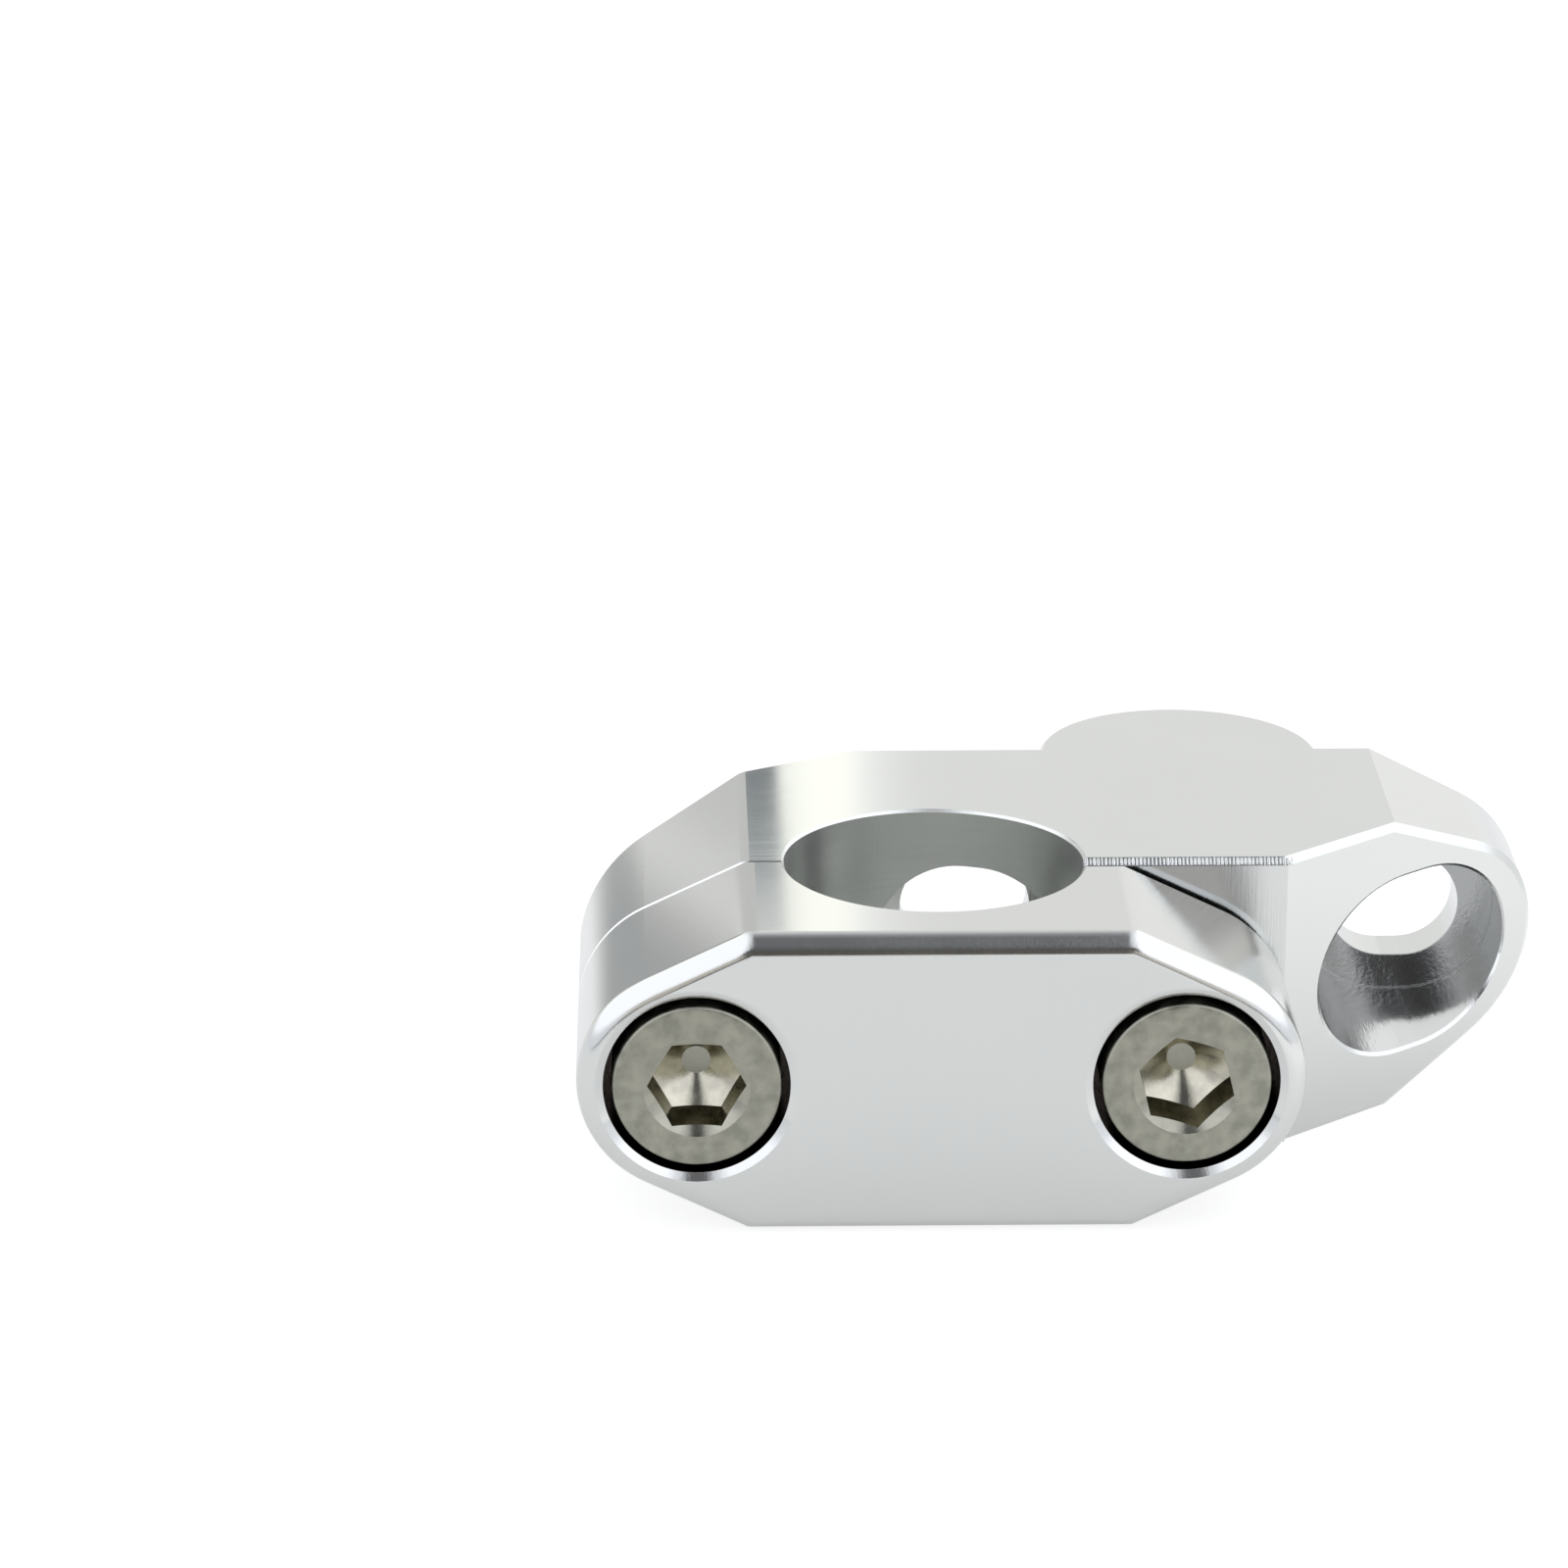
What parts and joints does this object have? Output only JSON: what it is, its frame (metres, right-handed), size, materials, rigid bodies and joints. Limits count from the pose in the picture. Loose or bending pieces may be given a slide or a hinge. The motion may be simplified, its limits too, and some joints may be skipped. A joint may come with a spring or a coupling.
{
  "type": "motorcycle bar riser",
  "caption": "Setback handlebar riser: slotted machined body with a round locating lug, bolted clamp cap and socket head screws.",
  "frame": {"origin": "on the bar bore's axis, at the flat side face that the riser lies on", "axes": "+Z along the bar's axis, up from the side face that it lies on; +X the setback, towards the mounting lobe; +Y away from the clamp cap, down in use"},
  "size_m": [0.0946, 0.0668, 0.0294],
  "materials": {
    "riser_alloy": "machined, brushed",
    "cap_alloy": "machined, brushed",
    "screw_steel": "forged and rolled, dull"
  },
  "bodies": {
    "root": {"riser_body": "riser_alloy", "clamp_cap": "cap_alloy", "clamp_screw_far": "screw_steel", "clamp_screw_near": "screw_steel"}
  },
  "joints": []
}
